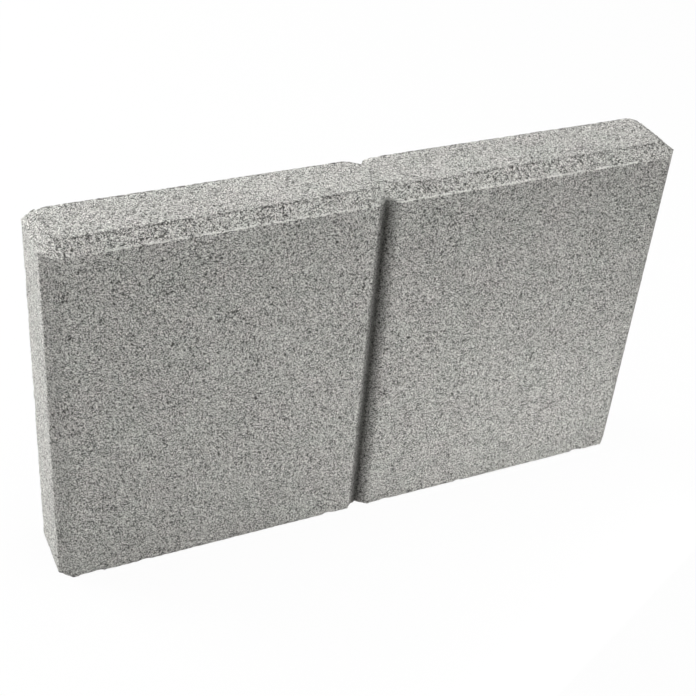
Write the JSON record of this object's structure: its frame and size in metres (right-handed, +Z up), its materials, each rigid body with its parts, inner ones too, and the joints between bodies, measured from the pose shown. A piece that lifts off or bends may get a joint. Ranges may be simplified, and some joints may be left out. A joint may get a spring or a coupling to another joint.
{
  "type": "concrete edging stone",
  "caption": "Upright concrete edging slab with bevelled top, chamfered corners and a V-shaped dummy joint down the middle of each long face.",
  "frame": {"origin": "centre of the flat underside on which the stone stands", "axes": "+X along the kerb line, +Y through the thickness towards the back face, +Z up to the bevelled top"},
  "size_m": [0.5, 0.065, 0.3],
  "materials": {
    "concrete": "rough, open-grained dry-cast concrete"
  },
  "bodies": {
    "root": {"edging_stone": "concrete"}
  },
  "joints": []
}
